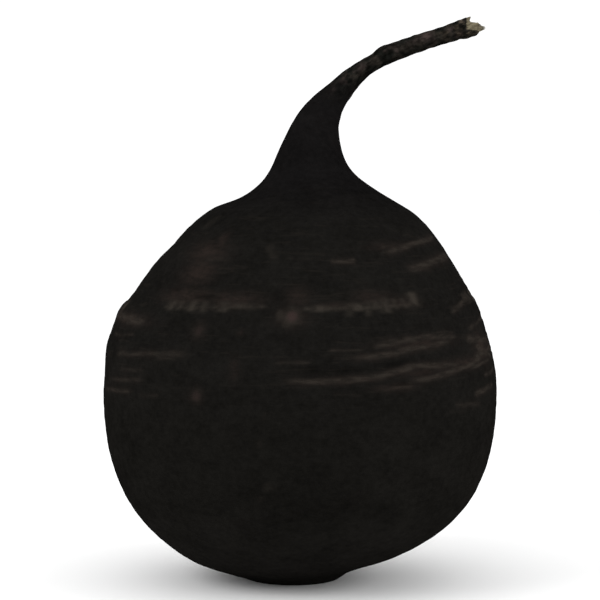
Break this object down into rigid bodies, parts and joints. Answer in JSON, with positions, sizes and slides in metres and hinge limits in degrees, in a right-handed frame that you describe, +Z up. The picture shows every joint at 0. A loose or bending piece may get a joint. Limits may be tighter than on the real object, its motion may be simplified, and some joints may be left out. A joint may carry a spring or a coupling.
{
  "type": "black radish",
  "caption": "Round black winter radish standing root up on its trimmed crown, with a narrow neck and a thin taproot that curves over to one side and ends torn.",
  "frame": {"origin": "middle of the flat trimmed cut of the crown that the root stands on", "axes": "+Z up through the body and neck, +X towards the side that the taproot bends to, -Y towards the front"},
  "size_m": [0.0901, 0.0869, 0.129],
  "materials": {
    "skin": "matt, almost black corky skin, crossed by fine brown cracks, paler and redder towards the end of the taproot",
    "flesh": "dry flesh, cream to olive, fibrous where the taproot is torn and where the leaves were trimmed from the crown"
  },
  "bodies": {
    "root": {"radish_root": "skin"}
  },
  "joints": []
}
